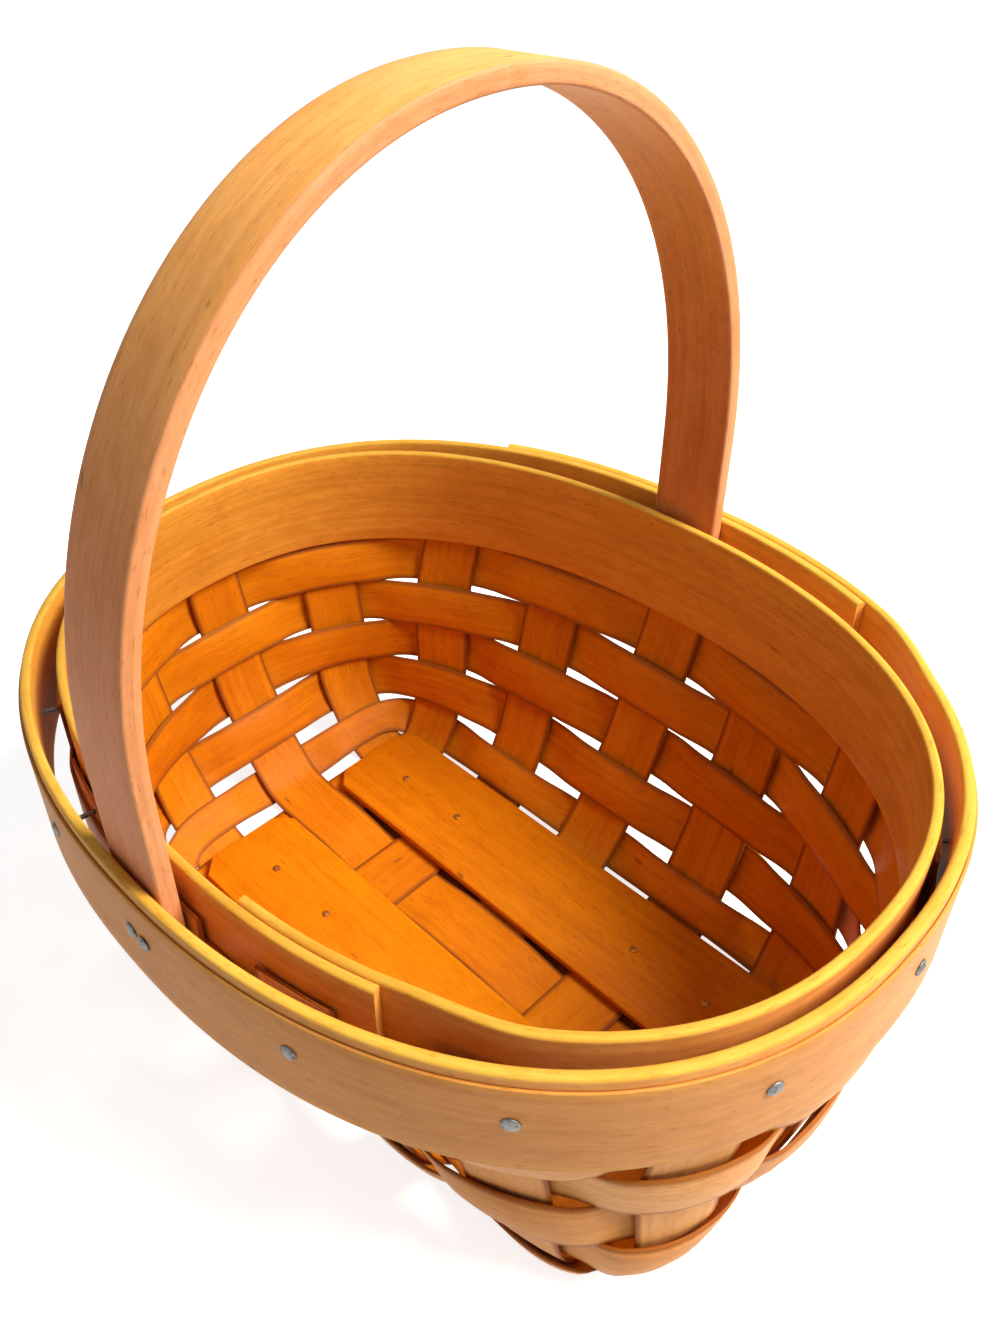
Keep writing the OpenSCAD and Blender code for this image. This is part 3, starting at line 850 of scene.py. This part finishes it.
def metal_material(name, base, stain, roughness):
    """Dull plated steel with small stains and a slightly dimpled face."""
    material = bpy.data.materials.new(name)
    maker = NodeMaker(material)
    place = maker.add("ShaderNodeTexCoord").outputs["Object"]
    near = maker.add("ShaderNodeVectorMath", {0: place, 1: (900, 900, 900)}, operation="MULTIPLY").outputs[0]
    patches = maker.noise(near, 4.0, 0.6)
    tone = maker.blend(maker.ramp(patches, 0.45, 0.68), base, stain)
    shine = maker.math("ADD", maker.math("MULTIPLY", patches, 0.3), roughness)
    bump = maker.add("ShaderNodeBump", {"Height": patches, "Strength": 0.4, "Distance": 0.0002})
    shader = maker.add("ShaderNodeBsdfPrincipled", {
        "Base Color": tone, "Metallic": 0.9, "Roughness": shine, "Normal": bump.outputs[0],
    })
    maker.add("ShaderNodeOutputMaterial", {"Surface": shader.outputs[0]})
    return material


OUTER_TAN = colour(0.8, 0.4, 0.15)
SPLINT_INNER = colour(0.95, 0.62, 0.03)
GRAIN_TINT = colour(0.62, 0.5, 0.38)
DRIFT_TINT = colour(0.88, 0.78, 0.62)
PIECE_TINT = colour(0.86, 0.72, 0.5)
KNOT_BROWN = colour(0.16, 0.06, 0.015)
# The dark edge tones of stakes and rows are painted shade: the shadow lines along the gaps beside each strip
STAKE_WOOD = wood_material("stake_wood", OUTER_TAN, SPLINT_INNER, colour(0.34, 0.1, 0.012))
WEAVER_WOOD = wood_material("weaver_wood", OUTER_TAN, SPLINT_INNER, colour(0.42, 0.14, 0.02))
BAND_WOOD = wood_material(
    "band_wood", colour(0.9, 0.47, 0.16), colour(1.0, 0.97, 0.45), colour(0.88, 0.54, 0.09),
    contrast=0.45)
FACING_WOOD = wood_material("facing_wood", OUTER_TAN, OUTER_TAN, colour(0.8, 0.42, 0.12))
# The handle's top tone is painted light: the arch is painted lighter and yellower towards its top, where the
# key light falls
HANDLE_WOOD = wood_material(
    "handle_wood", colour(0.78, 0.31, 0.15), colour(0.97, 0.95, 0.55), colour(0.76, 0.35, 0.17),
    painted_top_light=colour(0.93, 0.46, 0.13))
SLAT_WOOD = wood_material(
    "slat_wood", colour(0.8, 0.31, 0.008), colour(0.97, 0.85, 0.3), colour(0.6, 0.2, 0.01))
TACK_STEEL = metal_material("tack_steel", colour(0.2, 0.2, 0.2), colour(0.06, 0.055, 0.05), 0.36)
NAIL_STEEL = metal_material("nail_steel", colour(0.42, 0.16, 0.03), colour(0.2, 0.07, 0.015), 0.5)


# Assembly

for index, label in ((-1, "near"), (0, "middle"), (1, "far")):
    node = f"stake_long_{label}"
    piece(f"{node}_splint", long_stake_mesh(index, 11 + index), STAKE_WOOD, "stake_splint", node)
for index in range(-OUTER_CROSS, OUTER_CROSS + 1):
    node = f"stake_cross_{index + OUTER_CROSS + 1}"
    piece(f"{node}_splint", cross_stake_mesh(index, 23 + 2 * index), STAKE_WOOD, "stake_splint", node)
for row in range(ROW_COUNT + 1):
    node = f"weaver_row_{row}" if row else "weaver_row_top"
    piece(f"{node}_splint", row_mesh(row, 41 + 3 * row), WEAVER_WOOD, "weaver_splint", node)

inner_band = band_mesh(
    "inner_band", INNER_LAP_START, 360 + INNER_LAP_END,
    lambda angle: inner_band_base(angle) - INNER_BAND_T,
    INNER_BAND_T, BAND_BOTTOM, RIM_HEIGHT, BAND_EDGE_R, 61)
outer_band = band_mesh(
    "outer_band", OUTER_LAP_START, 360 + OUTER_LAP_END,
    outer_band_base, OUTER_BAND_T, OUTER_BAND_BOTTOM, RIM_HEIGHT, BAND_EDGE_R, 67)
facing = band_mesh(
    "facing", OUTER_LAP_END + FACING_END_GAP, 360 + OUTER_LAP_START - LAP_RUN - FACING_END_GAP,
    lambda angle: outer_band_base(angle) + OUTER_BAND_T + PLAY,
    FACING_T, OUTER_BAND_BOTTOM, RIM_HEIGHT - FACING_DROP, STRIP_EDGE_R, 71)
piece("inner_rim_band_wood", inner_band, BAND_WOOD, "band_wood", "inner_rim_band")
piece("outer_rim_band_wood", outer_band, BAND_WOOD, "band_wood", "outer_rim_band")
piece("outer_rim_facing_wood", facing, FACING_WOOD, "facing_wood", "outer_rim_facing")
piece("handle_strip", handle_mesh(73), HANDLE_WOOD, "handle_wood", "handle")
piece("floor_slat_far_board", slat_mesh(1, 79), SLAT_WOOD, "slat_wood", "floor_slat_far")
piece("floor_slat_near_board", slat_mesh(-1, 83), SLAT_WOOD, "slat_wood", "floor_slat_near")
rim_tacks = tacks_mesh("rim_tacks", rim_tack_places())
handle_tacks = tacks_mesh("handle_tacks", handle_tack_places())
piece("rim_tack_set", rim_tacks, TACK_STEEL, "tack_steel", "rim_tacks")
piece("handle_tack_set", handle_tacks, TACK_STEEL, "tack_steel", "handle_tacks")
piece("slat_nail_set", tacks_mesh("slat_nails", nail_places()), NAIL_STEEL, "nail_steel", "slat_nails")


# Camera, floor and light, in metres

CAMERA_PLACE = (0.1514, -0.1475, 0.2771)
STAGE_HALF = 3.0
# Painted shade under the woven floor: a dark brown rectangle, full from DARK_INSET inside the woven floor's
# outline and faded out at LIGHT_INSET inside it
DARK_INSET = 0.012
LIGHT_INSET = 0.002
BOUNCE_GREY = colour(0.6, 0.6, 0.6)
SEEN_GREY = colour(0.8, 0.8, 0.8)
UNDER_PAINTED_SHADE = colour(0.2, 0.07, 0.02)
FLOOR_GLOW = 0.75
WORLD_LIGHT = 0.26
WORLD_SEEN = 1.0


def add_camera():
    """Camera where the photograph was taken from: close by, above the near right end."""
    data = bpy.data.cameras.new("photo_camera")
    data.sensor_fit = "VERTICAL"
    data.sensor_height = 36
    data.lens = 30.415
    data.shift_x = 0.09
    data.shift_y = -0.0532
    data.clip_start = 0.01
    camera = bpy.data.objects.new("photo_camera", data)
    bpy.context.scene.collection.objects.link(camera)
    azimuth = math.radians(50.43)
    elevation = math.radians(36.03)
    roll = math.radians(-3.75)
    back = Vector((
        math.sin(azimuth) * math.cos(elevation),
        -math.cos(azimuth) * math.cos(elevation),
        math.sin(elevation),
    ))
    level = Vector((math.cos(azimuth), math.sin(azimuth), 0))
    right = level * math.cos(roll) + back.cross(level) * math.sin(roll)
    up = back.cross(right)
    turn = Matrix((right, up, back)).transposed().to_4x4()
    camera.matrix_world = Matrix.Translation(CAMERA_PLACE) @ turn
    bpy.context.scene.camera = camera


def seen_directly(maker):
    """1 for rays from the camera, also through gloss and glass; 0 for light that is thrown back."""
    path = maker.add("ShaderNodeLightPath").outputs
    shiny = maker.math("ADD", path["Is Glossy Ray"], path["Is Transmission Ray"])
    return maker.math("MINIMUM", maker.math("ADD", path["Is Camera Ray"], shiny), 1.0)


def add_floor():
    """A white floor that keeps the basket's soft shadow, with painted shade under the woven floor: a dark
    brown rectangle where the glow is left out.
    """
    mesh = bpy.data.meshes.new("floor")
    corners = [(x * STAGE_HALF, y * STAGE_HALF, 0) for x, y in ((-1, -1), (1, -1), (1, 1), (-1, 1))]
    mesh.from_pydata(corners, [], [(0, 1, 2, 3)])
    floor = bpy.data.objects.new("floor", mesh)
    bpy.context.scene.collection.objects.link(floor)
    material = bpy.data.materials.new("floor_white")
    maker = NodeMaker(material)
    seen = seen_directly(maker)
    place = maker.add("ShaderNodeNewGeometry").outputs["Position"]
    parts = maker.add("ShaderNodeSeparateXYZ", {0: place}).outputs
    beyond_end = maker.math("SUBTRACT", parts[0], FLOOR_SHIFT * MM)
    beyond_end = maker.math("SUBTRACT", maker.math("ABSOLUTE", beyond_end), FLOOR_LENGTH / 2 * MM)
    beyond_side = maker.math("SUBTRACT", maker.math("ABSOLUTE", parts[1]), FLOOR_WIDTH / 2 * MM)
    # Painted shade: dark brown under the woven floor, with no glow there, so the slits between the slats
    # read dark
    past_painted_shade = maker.ramp(maker.math("MAXIMUM", beyond_end, beyond_side), -DARK_INSET, -LIGHT_INSET)
    tone = maker.blend(seen, BOUNCE_GREY, SEEN_GREY)
    tone = maker.blend(past_painted_shade, UNDER_PAINTED_SHADE, tone)
    matt = maker.add("ShaderNodeBsdfDiffuse", {"Color": tone})
    glowing = maker.math("MULTIPLY", seen, maker.math("MULTIPLY", past_painted_shade, FLOOR_GLOW))
    glow = maker.add("ShaderNodeEmission", {"Strength": glowing})
    both = maker.add("ShaderNodeAddShader", {0: matt.outputs[0], 1: glow.outputs[0]})
    maker.add("ShaderNodeOutputMaterial", {"Surface": both.outputs[0]})
    mesh.materials.append(material)


def add_area(name, place, target, size, power, tint):
    data = bpy.data.lights.new(name, "AREA")
    data.shape = "DISK"
    data.size = size
    data.energy = power
    data.color = tint
    light = bpy.data.objects.new(name, data)
    bpy.context.scene.collection.objects.link(light)
    light.location = place
    light.rotation_euler = (Vector(target) - Vector(place)).to_track_quat("-Z", "Y").to_euler()


def add_world():
    """White behind the basket, a dimmer even light all round."""
    world = bpy.data.worlds.new("studio")
    maker = NodeMaker(world)
    levels = {"Value": seen_directly(maker), "To Min": WORLD_LIGHT, "To Max": WORLD_SEEN}
    strength = maker.add("ShaderNodeMapRange", levels).outputs[0]
    background = maker.add("ShaderNodeBackground", {"Color": colour(1, 1, 1), "Strength": strength})
    maker.add("ShaderNodeOutputWorld", {"Surface": background.outputs[0]})
    bpy.context.scene.world = world


add_camera()
add_floor()
add_world()
add_area("key", place=(0.53, 0.35, 0.84), target=(0, 0, 0.05), size=0.55, power=19, tint=(1.0, 0.93, 0.8))
add_area("fill", place=(0.3, -0.9, 0.15), target=(0, 0, 0.06), size=0.8, power=0.7, tint=(1.0, 0.95, 0.9))
bpy.context.scene.view_settings.view_transform = "Standard"
